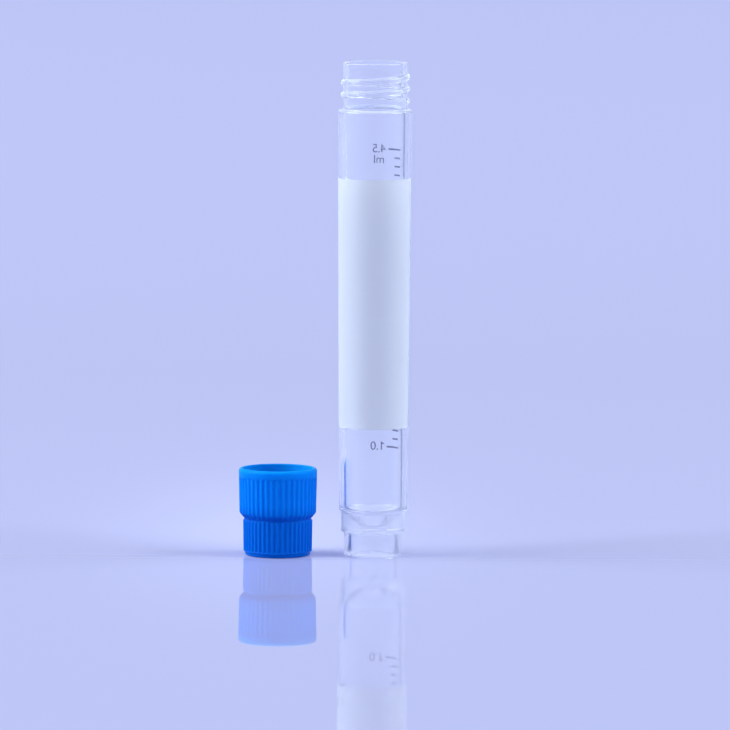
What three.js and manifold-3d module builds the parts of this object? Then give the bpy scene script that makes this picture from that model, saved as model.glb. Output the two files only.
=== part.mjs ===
// A five-millilitre cryogenic vial: a clear moulded tube with an external screw thread and a
// hollow foot, and beside it its ribbed screw cap, taken off and standing on its crown.
// Millimetres, +Z up. The origin is on the bench, midway between the two outer sides.

import * as THREE from 'three';
import { mergeVertices } from 'three/addons/utils/BufferGeometryUtils.js';
import Module from 'manifold-3d';

const wasm = await Module();
wasm.setup();

// ---------------------------------------------------------------- driving dimensions

// The tube. Heights are above the bench, and a draft is the radius lost over a wall's height.
const TUBE_HEIGHT = 83.45;
const BORE_RADIUS = 4.87; // at the mouth
const BORE_DRAFT = 0.2;
const BODY_WALL = 1.38; // just below the shoulder
const BODY_DRAFT = 0.47;
const SHOULDER_ROUND = 0.45;
const NECK_HEIGHT = 7.95;
const NECK_WALL = 0.49;
const NECK_ROOT_ROUND = 0.25;
const RIM_OUTER_ROUND = 0.2;
const RIM_INNER_ROUND = 0.1;

// The tube's conical bottom, and under it a waist, a lip and a hollow foot.
const BOTTOM_DEPTH = 3.2; // from the end of the straight bore to the lowest point
const BOTTOM_ROUND = 0.4; // where the bore's wall turns into the cone
const BOTTOM_TIP_RADIUS = 1.35;
const BOTTOM_TIP_DISH = 0.1;
const BOTTOM_FLOOR = 1.43; // the floor's thickness at its middle
const WAIST_HEIGHT = 2.8;
const WAIST_INSET = 0.4;
const WAIST_SLOPE = 0.3; // height of the cone from the body in to the waist
const LIP_STAND = 0.07;
const LIP_HEIGHT = 0.65;
const LIP_SLOPE = 0.15;
const FOOT_HEIGHT = 4.15;
const FOOT_INSET = 0.52;
const FOOT_WALL = 1.17;
const FOOT_EDGE_ROUND = 0.2;
const FOOT_ROOF_HEIGHT = 3.87; // of the hollow foot's roof, at its edge
const FOOT_ROOF_SAG = 0.3; // how far that roof's middle hangs down

// The screw thread. Its ridge starts on the +X side, at a height above the shoulder.
const THREAD_START = 1.45;
const THREAD_PITCH = 2.05;
const THREAD_TURNS = 2.08;
const THREAD_DEPTH = 0.45;
const THREAD_WIDTH = 1.15;
const THREAD_CLEARANCE = 0.14;

// The cap, standing on its crown with its mouth up.
const CROWN_HEIGHT = 6.5; // up to the step where the skirt begins
const CROWN_INSET = 0.62; // of the crown from the skirt
const CROWN_DRAFT = 0.07;
const CROWN_EDGE_HEIGHT = 0.75; // plain band at the standing end
const CROWN_EDGE_INSET = 0.28;
const CROWN_EDGE_ROUND = 0.35;
const CROWN_WALL = 1.47; // round the recess in the crown
const CROWN_WEB = 2.8; // between that recess and the washer's seat
const RECESS_ROUND = 0.4;
const STEP_SLOPE = 0.78; // height of the cone between crown and skirt
const STEP_GROOVE = 0.3; // plain groove under the step, as deep as the ribs
const SKIRT_WALL = 0.67; // at the mouth, outside the thread's root
const SKIRT_DRAFT = 0.14;
const LIP_BAND = 1.35; // plain band round the mouth
const CAP_LIP_ROUND = 0.55;
const MOUTH_CHAMFER = 0.1;
const RIB_COUNT = 44;
const RIB_DEPTH = 0.2;
const RIB_RUNOUT = 0.25;
const CAP_THREAD_TURNS = 1.75;

// How the cap sits on the tube, and the washer in between.
const SHOULDER_GAP = 0.85; // left between the cap's lip and the shoulder
const NECK_CLEARANCE = 0.19;
const SEAT_RISE = 0.5; // the washer's seat above the step
const SEAL_THICKNESS = 0.8;
const SEAL_SQUEEZE = 0.1;
const SEAL_BAND = 1.9;
const SEAL_CLEARANCE = 0.15; // round the washer, and round the plug that centres it
const PLUG_STAND = 0.6; // how far the plug stands above the washer
const PLUG_CHAMFER = 0.3;

const STANDING_GAP = 3.24; // between the tube and the cap, side by side

// ---------------------------------------------------------------- sizes worked out from them

const bodyRadius = BORE_RADIUS + BODY_WALL;
const bodyEndRadius = bodyRadius - BODY_DRAFT;
const boreEndRadius = BORE_RADIUS - BORE_DRAFT;
const neckRadius = BORE_RADIUS + NECK_WALL;
const waistRadius = bodyEndRadius - WAIST_INSET;
const lipRadius = waistRadius + LIP_STAND;
const footRadius = lipRadius - FOOT_INSET;
const footBoreRadius = footRadius - FOOT_WALL;
const waistStart = FOOT_HEIGHT + LIP_HEIGHT + LIP_SLOPE;
const bottomHeight = FOOT_ROOF_HEIGHT - FOOT_ROOF_SAG + BOTTOM_FLOOR;
const shoulderHeight = TUBE_HEIGHT - NECK_HEIGHT;
const threadEnd = THREAD_START + THREAD_TURNS * THREAD_PITCH;

const threadBoreRadius = neckRadius + THREAD_DEPTH + THREAD_CLEARANCE;
const neckBoreRadius = neckRadius + NECK_CLEARANCE;
const capLipRadius = threadBoreRadius + SKIRT_WALL;
const skirtRadius = capLipRadius - SKIRT_DRAFT;
const crownRadius = skirtRadius - CROWN_INSET;
const crownEndRadius = crownRadius - CROWN_DRAFT;
const seatHeight = CROWN_HEIGHT + SEAT_RISE;
const recessDepth = seatHeight - CROWN_WEB;
const rimInCap = seatHeight + SEAL_THICKNESS - SEAL_SQUEEZE; // where the tube's rim comes to
const capHeight = rimInCap + NECK_HEIGHT - SHOULDER_GAP;
const threadBoreEnd = rimInCap + NECK_HEIGHT - threadEnd - THREAD_WIDTH / 2 - THREAD_CLEARANCE;
const ribStart = CROWN_EDGE_HEIGHT;
const grooveStart = CROWN_HEIGHT - STEP_GROOVE;
const ribEnd = capHeight - LIP_BAND;

const sealOuterRadius = neckBoreRadius - SEAL_CLEARANCE;
const sealInnerRadius = sealOuterRadius - SEAL_BAND;
const plugRadius = sealInnerRadius - SEAL_CLEARANCE;

const axisSpacing = bodyRadius + STANDING_GAP + capLipRadius;
const tubeX = (axisSpacing + capLipRadius - bodyRadius) / 2;
const capX = tubeX - axisSpacing;

// Facets.
const TUBE_SIDES = 56;
const BORE_SIDES = 48;
const STEPS_PER_TURN = 30; // of a thread
const COLUMNS_PER_RIB = 4;

// ---------------------------------------------------------------- making solids

const point = (radius, height) => new THREE.Vector2(radius, height);

// Points of an arc, or of a quarter of an ellipse, in a profile. Angles are in degrees.
function arc(radius, height, across, up, fromAngle, toAngle, steps) {
  return Array.from({ length: steps + 1 }, (_, i) => {
    const angle = THREE.MathUtils.degToRad(fromAngle + ((toAngle - fromAngle) * i) / steps);
    return point(radius + across * Math.cos(angle), height + up * Math.sin(angle));
  });
}

// A profile turned round the Z axis. It runs upwards along the outside.
function turned(profile, sides) {
  return new THREE.LatheGeometry(profile, sides).rotateX(Math.PI / 2);
}

// A geometry as a manifold-3d solid: shared corners merged, and triangles with no area left out.
function solidOf(geometry) {
  const bare = geometry.clone();
  bare.deleteAttribute('normal');
  bare.deleteAttribute('uv');
  const merged = mergeVertices(bare, 1e-4);
  const corners = merged.index.array;
  const triVerts = [];
  for (let i = 0; i < corners.length; i += 3) {
    const [a, b, c] = [corners[i], corners[i + 1], corners[i + 2]];
    if (a !== b && b !== c && c !== a) triVerts.push(a, b, c);
  }
  return new wasm.Manifold(
    new wasm.Mesh({
      numProp: 3,
      vertProperties: merged.attributes.position.array,
      triVerts: new Uint32Array(triVerts),
    }),
  );
}

// A manifold-3d solid as a geometry again.
function geometryOf(solid) {
  const { vertProperties, triVerts } = solid.getMesh();
  const geometry = new THREE.BufferGeometry();
  geometry.setAttribute('position', new THREE.BufferAttribute(vertProperties, 3));
  geometry.setIndex(new THREE.BufferAttribute(triVerts, 1));
  geometry.computeVertexNormals();
  return geometry;
}

// ---------------------------------------------------------------- screw threads

const RIDGE_ROOT = 0.2; // how far a ridge's root goes into the wall that carries it
const RIDGE_FULLNESS = 0.7; // under 1, the rounded ridge has steeper flanks
const RIDGE_SPAN_STEPS = 5; // facets across the ridge
const RIDGE_END_TURN = 0.045; // part of a turn in which an end rounds off
const RIDGE_END_LEAST = 0.12; // part of the full section that is left at the very end

// The section of a ridge, as how far each point stands from the wall and how far up it is.
function ridgeSection(depth, width) {
  const root = -RIDGE_ROOT * Math.sign(depth);
  const crest = Array.from({ length: RIDGE_SPAN_STEPS + 1 }, (_, k) => {
    const across = (2 * k) / RIDGE_SPAN_STEPS - 1;
    return [depth * Math.cos((across * Math.PI) / 2) ** RIDGE_FULLNESS, (across * width) / 2];
  });
  return [[root, -width / 2], ...crest, [root, width / 2]];
}

// A thread's ridge: its section carried round a cylinder and up it, right-handed, with blunt round
// ends. A negative depth makes a nut's ridge, which stands in from its wall.
function threadRidge({ wallRadius, depth, width, startHeight, startAngle, turns }) {
  const section = ridgeSection(depth, width);
  const steps = Math.round(turns * STEPS_PER_TURN);
  const positions = [];
  for (let i = 0; i <= steps; i++) {
    const turn = (i / steps) * turns;
    const fromEnd = Math.min(turn, turns - turn, RIDGE_END_TURN) / RIDGE_END_TURN;
    const size = RIDGE_END_LEAST + (1 - RIDGE_END_LEAST) * Math.sqrt(1 - (1 - fromEnd) ** 2);
    const angle = startAngle + turn * 2 * Math.PI;
    section.forEach(([out, up], k) => {
      const isRoot = k === 0 || k === section.length - 1;
      const radius = wallRadius + (isRoot ? out : out * size);
      const height = startHeight + turn * THREAD_PITCH + up * size;
      positions.push(radius * Math.cos(angle), radius * Math.sin(angle), height);
    });
  }
  const index = [];
  for (let i = 0; i < steps; i++) {
    for (let k = 0; k < section.length; k++) {
      const next = (k + 1) % section.length;
      const near = i * section.length;
      const far = near + section.length;
      index.push(near + k, far + k, far + next, near + k, far + next, near + next);
    }
  }
  const last = steps * section.length;
  for (let k = 1; k < section.length - 1; k++) {
    index.push(0, k, k + 1);
    index.push(last, last + k + 1, last + k);
  }
  // A nut's section is mirrored, so its faces are turned round.
  if (depth < 0) index.reverse();
  const geometry = new THREE.BufferGeometry();
  geometry.setAttribute('position', new THREE.Float32BufferAttribute(positions, 3));
  geometry.setIndex(index);
  return solidOf(geometry);
}

// ---------------------------------------------------------------- the tube

// From the middle of the hollow foot's roof, down round the foot, up the outside to the rim, and
// down the bore to the lowest point of the conical bottom.
function tubeProfile() {
  const ROOF_STEPS = 3;
  const roof = Array.from({ length: ROOF_STEPS + 1 }, (_, i) => {
    const out = i / ROOF_STEPS;
    return point(out * footBoreRadius, FOOT_ROOF_HEIGHT - FOOT_ROOF_SAG * (1 - out ** 2));
  });
  const foot = [
    point(footBoreRadius, FOOT_EDGE_ROUND),
    point(footBoreRadius + FOOT_EDGE_ROUND, 0),
    ...arc(footRadius - FOOT_EDGE_ROUND, FOOT_EDGE_ROUND, FOOT_EDGE_ROUND, FOOT_EDGE_ROUND, -90, 0, 2),
    point(footRadius, FOOT_HEIGHT),
  ];
  const waist = [
    point(lipRadius, FOOT_HEIGHT),
    point(lipRadius, FOOT_HEIGHT + LIP_HEIGHT),
    point(waistRadius, waistStart),
    point(waistRadius, waistStart + WAIST_HEIGHT - WAIST_SLOPE),
    point(bodyEndRadius, waistStart + WAIST_HEIGHT),
  ];
  const shoulder = arc(
    bodyRadius - SHOULDER_ROUND,
    shoulderHeight - SHOULDER_ROUND,
    SHOULDER_ROUND,
    SHOULDER_ROUND,
    0,
    90,
    3,
  );
  const neckRoot = arc(
    neckRadius + NECK_ROOT_ROUND,
    shoulderHeight + NECK_ROOT_ROUND,
    NECK_ROOT_ROUND,
    NECK_ROOT_ROUND,
    -90,
    -180,
    2,
  );
  const rim = [
    ...arc(
      neckRadius - RIM_OUTER_ROUND,
      TUBE_HEIGHT - RIM_OUTER_ROUND,
      RIM_OUTER_ROUND,
      RIM_OUTER_ROUND,
      0,
      90,
      3,
    ),
    ...arc(
      BORE_RADIUS + RIM_INNER_ROUND,
      TUBE_HEIGHT - RIM_INNER_ROUND,
      RIM_INNER_ROUND,
      RIM_INNER_ROUND,
      90,
      180,
      2,
    ),
  ];
  const tipEdge = bottomHeight + BOTTOM_TIP_DISH;
  const coneSlope = (BOTTOM_DEPTH - BOTTOM_TIP_DISH) / (boreEndRadius - BOTTOM_TIP_RADIUS);
  const bottom = [
    point(boreEndRadius, bottomHeight + BOTTOM_DEPTH + BOTTOM_ROUND / 2),
    point(boreEndRadius - BOTTOM_ROUND, bottomHeight + BOTTOM_DEPTH - coneSlope * BOTTOM_ROUND),
    point(BOTTOM_TIP_RADIUS, tipEdge),
    point(0, bottomHeight),
  ];
  return [...roof, ...foot, ...waist, ...shoulder, ...neckRoot, ...rim, ...bottom];
}

function vialTube() {
  const body = solidOf(turned(tubeProfile(), TUBE_SIDES));
  const thread = threadRidge({
    wallRadius: neckRadius,
    depth: THREAD_DEPTH,
    width: THREAD_WIDTH,
    startHeight: shoulderHeight + THREAD_START,
    startAngle: 0,
    turns: THREAD_TURNS,
  });
  return geometryOf(body.add(thread));
}

// ---------------------------------------------------------------- the cap

// The cap's outline from the middle of its standing face up to the middle of its open end.
function capOutline() {
  const skirtStart = CROWN_HEIGHT + STEP_SLOPE;
  const skirtRadiusAt = (height) =>
    THREE.MathUtils.mapLinear(height, skirtStart, capHeight - CAP_LIP_ROUND, skirtRadius, capLipRadius);
  const edgeRadius = crownEndRadius - CROWN_EDGE_INSET;
  return [
    point(0, 0),
    ...arc(edgeRadius - CROWN_EDGE_ROUND, CROWN_EDGE_ROUND, CROWN_EDGE_ROUND, CROWN_EDGE_ROUND, -90, 0, 2),
    point(edgeRadius, ribStart - CROWN_EDGE_INSET / 2),
    point(crownEndRadius, ribStart),
    point(crownEndRadius, ribStart + RIB_RUNOUT),
    point(crownRadius, grooveStart - RIB_RUNOUT),
    point(crownRadius - RIB_DEPTH, grooveStart),
    point(crownRadius - RIB_DEPTH, CROWN_HEIGHT),
    point(crownRadius, CROWN_HEIGHT),
    point(skirtRadius, skirtStart),
    point(skirtRadiusAt(ribEnd - RIB_RUNOUT), ribEnd - RIB_RUNOUT),
    point(skirtRadiusAt(ribEnd), ribEnd),
    ...arc(capLipRadius - CAP_LIP_ROUND, capHeight - CAP_LIP_ROUND, CAP_LIP_ROUND, CAP_LIP_ROUND, 0, 90, 3),
    point(0, capHeight),
  ];
}

// The outline turned, with the grip's ribs pressed into it as waves that run out at both ends and
// on either side of the groove under the step.
function ribbedOutside() {
  const geometry = turned(capOutline(), RIB_COUNT * COLUMNS_PER_RIB);
  const position = geometry.attributes.position;
  for (let i = 0; i < position.count; i++) {
    const x = position.getX(i);
    const y = position.getY(i);
    const z = position.getZ(i);
    const fromGroove = Math.max(z - CROWN_HEIGHT, grooveStart - z);
    const fromEnd = Math.min(z - ribStart, ribEnd - z, fromGroove) / RIB_RUNOUT;
    const depth = RIB_DEPTH * THREE.MathUtils.clamp(fromEnd, 0, 1);
    const wave = (1 - Math.cos(Math.atan2(y, x) * RIB_COUNT)) / 2;
    const kept = depth > 0 ? 1 - (depth * wave) / Math.hypot(x, y) : 1;
    position.setXY(i, x * kept, y * kept);
  }
  return solidOf(geometry);
}

// What is hollow above the web: the washer's seat round the plug, the neck's bore, the thread's
// bore and the mouth. It stands out of the mouth a little, to cut it clean.
function capHollow() {
  const mouthRadius = threadBoreRadius + MOUTH_CHAMFER;
  const plugHeight = seatHeight + SEAL_THICKNESS + PLUG_STAND;
  const clear = capHeight + 1;
  return solidOf(
    turned(
      [
        point(0, plugHeight),
        point(plugRadius - PLUG_CHAMFER, plugHeight),
        point(plugRadius, plugHeight - PLUG_CHAMFER),
        point(plugRadius, seatHeight),
        point(neckBoreRadius, seatHeight),
        point(neckBoreRadius, threadBoreEnd - (threadBoreRadius - neckBoreRadius)),
        point(threadBoreRadius, threadBoreEnd),
        point(threadBoreRadius, capHeight - MOUTH_CHAMFER),
        point(mouthRadius, capHeight),
        point(mouthRadius, clear),
        point(0, clear),
      ],
      BORE_SIDES,
    ),
  );
}

// The recess in the crown, which keeps the moulding's walls even.
function crownRecess() {
  const recessRadius = crownEndRadius - CROWN_WALL;
  const clear = -1;
  return solidOf(
    turned(
      [
        point(0, clear),
        point(recessRadius, clear),
        ...arc(
          recessRadius - RECESS_ROUND,
          recessDepth - RECESS_ROUND,
          RECESS_ROUND,
          RECESS_ROUND,
          0,
          90,
          2,
        ),
        point(0, recessDepth),
      ],
      BORE_SIDES,
    ),
  );
}

function screwCap() {
  const thread = threadRidge({
    wallRadius: threadBoreRadius,
    depth: THREAD_CLEARANCE / 2 - THREAD_DEPTH,
    width: THREAD_PITCH - THREAD_WIDTH,
    startHeight: threadBoreEnd + THREAD_WIDTH / 2,
    startAngle: 0,
    turns: CAP_THREAD_TURNS,
  });
  return geometryOf(ribbedOutside().subtract(capHollow()).subtract(crownRecess()).add(thread));
}

// ---------------------------------------------------------------- the washer

function capSeal() {
  const profile = [
    point(sealInnerRadius, 0),
    point(sealOuterRadius, 0),
    point(sealOuterRadius, SEAL_THICKNESS),
    point(sealInnerRadius, SEAL_THICKNESS),
    point(sealInnerRadius, 0),
  ];
  return geometryOf(solidOf(turned(profile, BORE_SIDES)));
}

// ---------------------------------------------------------------- materials and assembly

const clearPolypropylene = new THREE.MeshStandardMaterial({
  color: 0xdfe6f5,
  roughness: 0.12,
  metalness: 0,
  transparent: true,
  opacity: 0.35,
});
const bluePolypropylene = new THREE.MeshStandardMaterial({
  color: 0x0268e6,
  roughness: 0.42,
  metalness: 0,
});
const siliconeRubber = new THREE.MeshStandardMaterial({
  color: 0xe9ebee,
  roughness: 0.6,
  metalness: 0,
});

function mesh(name, geometry, material, x, z) {
  const made = new THREE.Mesh(geometry, material);
  made.name = name;
  made.position.set(x, 0, z);
  return made;
}

const cryovial = new THREE.Group();
cryovial.add(mesh('vial_tube', vialTube(), clearPolypropylene, tubeX, 0));
cryovial.add(mesh('screw_cap', screwCap(), bluePolypropylene, capX, 0));
cryovial.add(mesh('cap_seal', capSeal(), siliconeRubber, capX, seatHeight));

export default cryovial;
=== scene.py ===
# A five-millilitre cryogenic vial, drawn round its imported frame: the clear moulded tube with its
# writing patch and printed scale, and the blue ribbed screw cap with its washer, taken off and
# standing beside it. Sizes are in millimetres, and MM brings them to the frame's metres.

import math

import bmesh
import bpy
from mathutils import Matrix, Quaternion, Vector


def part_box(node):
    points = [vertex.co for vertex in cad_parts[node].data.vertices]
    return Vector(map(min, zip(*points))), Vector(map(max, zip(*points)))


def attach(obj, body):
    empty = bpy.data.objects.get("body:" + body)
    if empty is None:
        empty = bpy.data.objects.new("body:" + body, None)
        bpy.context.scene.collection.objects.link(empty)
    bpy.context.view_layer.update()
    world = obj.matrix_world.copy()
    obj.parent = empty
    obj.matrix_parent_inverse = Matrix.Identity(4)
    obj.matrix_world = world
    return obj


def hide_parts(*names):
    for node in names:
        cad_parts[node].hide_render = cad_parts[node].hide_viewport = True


MM = 0.001
TAU = 2 * math.pi

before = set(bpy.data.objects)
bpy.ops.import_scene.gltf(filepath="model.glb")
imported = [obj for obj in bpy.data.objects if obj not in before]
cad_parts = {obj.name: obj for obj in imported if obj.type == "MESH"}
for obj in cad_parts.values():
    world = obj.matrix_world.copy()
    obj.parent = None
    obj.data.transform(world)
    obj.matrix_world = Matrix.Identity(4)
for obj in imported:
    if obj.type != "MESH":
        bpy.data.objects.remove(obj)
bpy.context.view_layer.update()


# ---------------------------------------------------------------- the tube
# One injection moulding in clear polypropylene. The outline is turned round the axis, and the
# screw thread stands on the neck as a rounded ridge that climbs two turns. Below the conical
# bottom the wall goes on as a hollow foot.

tube_low, tube_high = (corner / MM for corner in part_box("vial_tube"))
TUBE_AXIS = (tube_low.x + tube_high.x) / 2
TUBE_HEIGHT = tube_high.z
BODY_RADIUS = (tube_high.x - tube_low.x) / 2
BODY_END_RADIUS = 5.78
NECK_HEIGHT = 7.95
NECK_RADIUS = 5.36
BORE_RADIUS = 4.87
BORE_END_RADIUS = 4.67
RIM_OUTER_ROUND = 0.2
RIM_INNER_ROUND = 0.1
SHOULDER_ROUND = 0.45
NECK_ROOT_ROUND = 0.25
BOTTOM_HEIGHT = 5.0
BOTTOM_DEPTH = 3.2
BOTTOM_ROUND = 0.4
BOTTOM_TIP_RADIUS = 1.35
BOTTOM_TIP_DISH = 0.1
WAIST_RADIUS = 5.38
WAIST_TOP = 7.75
WAIST_SLOPE = 0.3
WAIST_ROUND = 0.22
LIP_RADIUS = 5.45
LIP_HEIGHT = 0.65
LIP_SLOPE = 0.15
LIP_EDGE_ROUND = 0.08
FOOT_RADIUS = 4.93
FOOT_BORE_RADIUS = 3.76
FOOT_HEIGHT = 4.15
FOOT_ROOF_HEIGHT = 3.87
FOOT_ROOF_SAG = 0.3
FOOT_EDGE_ROUND = 0.2
THREAD_START = 1.45
THREAD_PITCH = 2.05
THREAD_TURNS = 2.08
THREAD_DEPTH = 0.45
THREAD_WIDTH = 1.15
RIDGE_FULLNESS = 2.6
TUBE_SIDES = 240
THREAD_ROW = 0.05
SHOULDER = TUBE_HEIGHT - NECK_HEIGHT

# An edge that bends by more radians than this stays sharp, and points closer together than this
# many millimetres are merged.
CREASE_ANGLE = 1.0
CLOSE = 0.001


class Value:
    """A socket that gives a value in a node tree. Arithmetic on it adds Math nodes."""

    def __init__(self, tree, socket):
        self.tree = tree
        self.socket = socket

    def math(self, operation, *others):
        sockets = dict(enumerate([self, *others]))
        return self.tree.node("ShaderNodeMath", {"operation": operation}, sockets)

    def sibling(self, output):
        """Another output of the same node."""
        return Value(self.tree, self.tree.open_socket(self.socket.node.outputs, output))

    def __add__(self, other):
        return self.math("ADD", other)

    __radd__ = __add__

    def __sub__(self, other):
        return self.math("SUBTRACT", other)

    def __rsub__(self, other):
        return (self * -1) + other

    def __mul__(self, other):
        return self.math("MULTIPLY", other)

    __rmul__ = __mul__

    def __truediv__(self, other):
        return self.math("DIVIDE", other)

    def __rtruediv__(self, other):
        return self.math("POWER", -1) * other

    def __pow__(self, other):
        return self.math("POWER", other)

    def least(self, other):
        return self.math("MINIMUM", other)

    def most(self, other):
        return self.math("MAXIMUM", other)

    def between(self, low, high):
        return self.most(low).least(high)

    def ramp(self, low, high):
        """0 below low, 1 above high, and straight in between."""
        return ((self - low) / (high - low)).between(0, 1)


class Tree:
    """A node tree that is being made, for a shape or for a finish."""

    def __init__(self, tree):
        self.tree = tree

    def node(self, kind, settings, sockets, output=0):
        """Adds a node with these settings and socket values or links, and gives one output."""
        made = self.tree.nodes.new(kind)
        for name, value in settings.items():
            if name == "stops":
                self.set_stops(made.color_ramp, value)
            else:
                setattr(made, name, value)
        for name, value in sockets.items():
            socket = self.open_socket(made.inputs, name)
            if isinstance(value, Value):
                self.tree.links.new(value.socket, socket)
            else:
                socket.default_value = value
        return Value(self, self.open_socket(made.outputs, output))

    @staticmethod
    def set_stops(ramp, stops):
        """Gives a ramp these stops, each a place from 0 to 1 and a grey level."""
        ramp.interpolation = "EASE"
        while len(ramp.elements) < len(stops):
            ramp.elements.new(1)
        for element, (place, level) in zip(ramp.elements, stops):
            element.position = place
            element.color = (level, level, level, 1)

    @staticmethod
    def open_socket(sockets, name):
        if isinstance(name, int):
            return sockets[name]
        return next(s for s in sockets if s.name == name and s.enabled)

    def vector(self, x, y, z):
        return self.node("ShaderNodeCombineXYZ", {}, {"X": x, "Y": y, "Z": z})

    def parts(self, vector):
        """A vector's three numbers."""
        x = self.node("ShaderNodeSeparateXYZ", {}, {0: vector})
        return [x.sibling(k) for k in range(3)]

    def blend(self, factor, first, second):
        """A colour between two, which are three numbers each or another node's colour."""
        first, second = (c if isinstance(c, Value) else (*c, 1) for c in (first, second))
        sockets = {"Factor": factor, "A": first, "B": second}
        return self.node("ShaderNodeMix", {"data_type": "RGBA"}, sockets, "Result")


class Shape(Tree):
    """A Geometry Nodes tree with named sizes, which ends in a plain mesh with its material."""

    def __init__(self, name, sizes):
        super().__init__(bpy.data.node_groups.new(name, "GeometryNodeTree"))
        kinds = {int: "NodeSocketInt", float: "NodeSocketFloat"}
        interface = self.tree.interface
        interface.new_socket("Geometry", in_out="INPUT", socket_type="NodeSocketGeometry")
        interface.new_socket("Material", in_out="INPUT", socket_type="NodeSocketMaterial")
        for size, value in sizes.items():
            interface.new_socket(size, in_out="INPUT", socket_type=kinds[type(value)])
        interface.new_socket("Geometry", in_out="OUTPUT", socket_type="NodeSocketGeometry")
        self.sizes = sizes
        self.given = self.tree.nodes.new("NodeGroupInput")

    def size(self, name):
        return Value(self, self.given.outputs[name])

    def finish(self, geometry):
        """Ends the tree with the plain mesh in its material, smooth but for its sharp edges."""
        plain = self.node("GeometryNodeRealizeInstances", {}, {"Geometry": geometry})
        smooth = self.node("GeometryNodeSetShadeSmooth", {}, {"Geometry": plain, "Shade Smooth": True})
        angle = self.node("GeometryNodeInputMeshEdgeAngle", {}, {}, "Unsigned Angle")
        sharp = angle.math("GREATER_THAN", CREASE_ANGLE)
        creased = self.node(
            "GeometryNodeSetShadeSmooth",
            {"domain": "EDGE"},
            {"Geometry": smooth, "Selection": sharp, "Shade Smooth": False},
        )
        sockets = {"Geometry": creased, "Material": self.size("Material")}
        coated = self.node("GeometryNodeSetMaterial", {}, sockets)
        output = self.tree.nodes.new("NodeGroupOutput")
        self.tree.links.new(coated.socket, output.inputs["Geometry"])

    def made_from(self, name, mesh, material):
        """A new object with the tree's result for its mesh."""
        piece = bpy.data.objects.new(name, mesh)
        bpy.context.scene.collection.objects.link(piece)
        modifier = piece.modifiers.new("shape", "NODES")
        modifier.node_group = self.tree
        values = {"Material": material, **self.sizes}
        for item in self.tree.interface.items_tree:
            if item.in_out == "INPUT" and item.name in values:
                modifier[item.identifier] = values[item.name]
        evaluated = piece.evaluated_get(bpy.context.evaluated_depsgraph_get())
        result = bpy.data.meshes.new_from_object(evaluated)
        piece.modifiers.remove(modifier)
        piece.data = result
        return piece


def arc(across, up, radius, start, end, steps):
    """Points of an arc in an outline, round the middle (across, up). Angles are in degrees."""
    angles = [math.radians(start + (end - start) * i / steps) for i in range(steps + 1)]
    return [(across + radius * math.cos(a), up + radius * math.sin(a)) for a in angles]


def part_way(start, end, share):
    """A point on the straight line from start to end."""
    return tuple(a + (b - a) * share for a, b in zip(start, end))


def eased(start, corner, end, reach, steps=8):
    """A corner of an outline, rounded from that far before it to that far after it."""
    first = part_way(corner, start, reach / math.dist(corner, start))
    last = part_way(corner, end, reach / math.dist(corner, end))
    points = []
    for i in range(steps + 1):
        t = i / steps
        points.append(part_way(part_way(first, corner, t), part_way(corner, last, t), t))
    return points


def held(outline, reach=0.04, longest=2.5):
    """The outline with a point close to both ends of each long stretch, so that a round next to
    it doesn't bend its shading, and with points along the longest ones."""
    points = [outline[0]]
    for start, end in zip(outline, outline[1:]):
        length = math.dist(start, end)
        if length > 4 * reach:
            steps = math.ceil(length / longest)
            shares = [reach / length, *(i / steps for i in range(1, steps)), 1 - reach / length]
            points += [part_way(start, end, share) for share in shares]
        points.append(end)
    return points


def turned(name, outline, sides, axis, material, rule=None, marks=None, sizes=None):
    """A piece turned from an outline of (radius, height) points. The rule gives how far a point is
    moved out, from its angle, its height and the marks that the outline's points carry."""
    marks = marks or {}
    shape = Shape(name + "_shape", {"Sides": sides, "Axis X": axis * MM, **(sizes or {})})
    line = bpy.data.meshes.new(name + "_outline")
    line.from_pydata([(r * MM, 0, z * MM) for r, z in outline], [], [])
    for mark, values in marks.items():
        line.attributes.new(mark, "FLOAT", "POINT").data.foreach_set("value", values)

    outline_in = shape.size("Geometry")
    count = shape.node("GeometryNodeAttributeDomainSize", {"component": "MESH"}, {0: outline_in})
    grid = shape.node(
        "GeometryNodeMeshGrid",
        {},
        {"Size X": 1.0, "Size Y": 1.0, "Vertices X": shape.size("Sides") + 1, "Vertices Y": count},
    )
    # The grid's points are numbered up each column. Half a row is added before the rounding down.
    index = shape.node("GeometryNodeInputIndex", {}, {})
    column = (index / count + 0.5 / len(outline)).math("FLOOR")
    row = index - column * count

    def sampled(kind, value):
        sockets = {"Geometry": outline_in, "Value": value, "Index": row}
        return shape.node("GeometryNodeSampleIndex", {"data_type": kind}, sockets, "Value")

    place = shape.node("GeometryNodeInputPosition", {}, {})
    radius, _, height = shape.parts(sampled("FLOAT_VECTOR", place))
    angle = column / shape.size("Sides") * TAU
    if rule:
        carried = {}
        for mark in marks:
            named = shape.node("GeometryNodeInputNamedAttribute", {"data_type": "FLOAT"}, {"Name": mark})
            carried[mark] = sampled("FLOAT", named)
        radius = radius + rule(shape, angle, height, carried)
    across = radius * angle.math("COSINE") + shape.size("Axis X")
    spun = shape.node(
        "GeometryNodeSetPosition",
        {},
        {"Geometry": grid, "Position": shape.vector(across, radius * angle.math("SINE"), height)},
    )
    closed = shape.node("GeometryNodeMergeByDistance", {}, {"Geometry": spun, "Distance": CLOSE * MM})
    shape.finish(closed)
    piece = shape.made_from(name, line, material)
    outward(piece)
    return piece


def outward(piece):
    """Points the faces of a closed piece outwards."""
    mesh = bmesh.new()
    mesh.from_mesh(piece.data)
    bmesh.ops.recalc_face_normals(mesh, faces=mesh.faces)
    mesh.to_mesh(piece.data)
    mesh.free()


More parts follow.
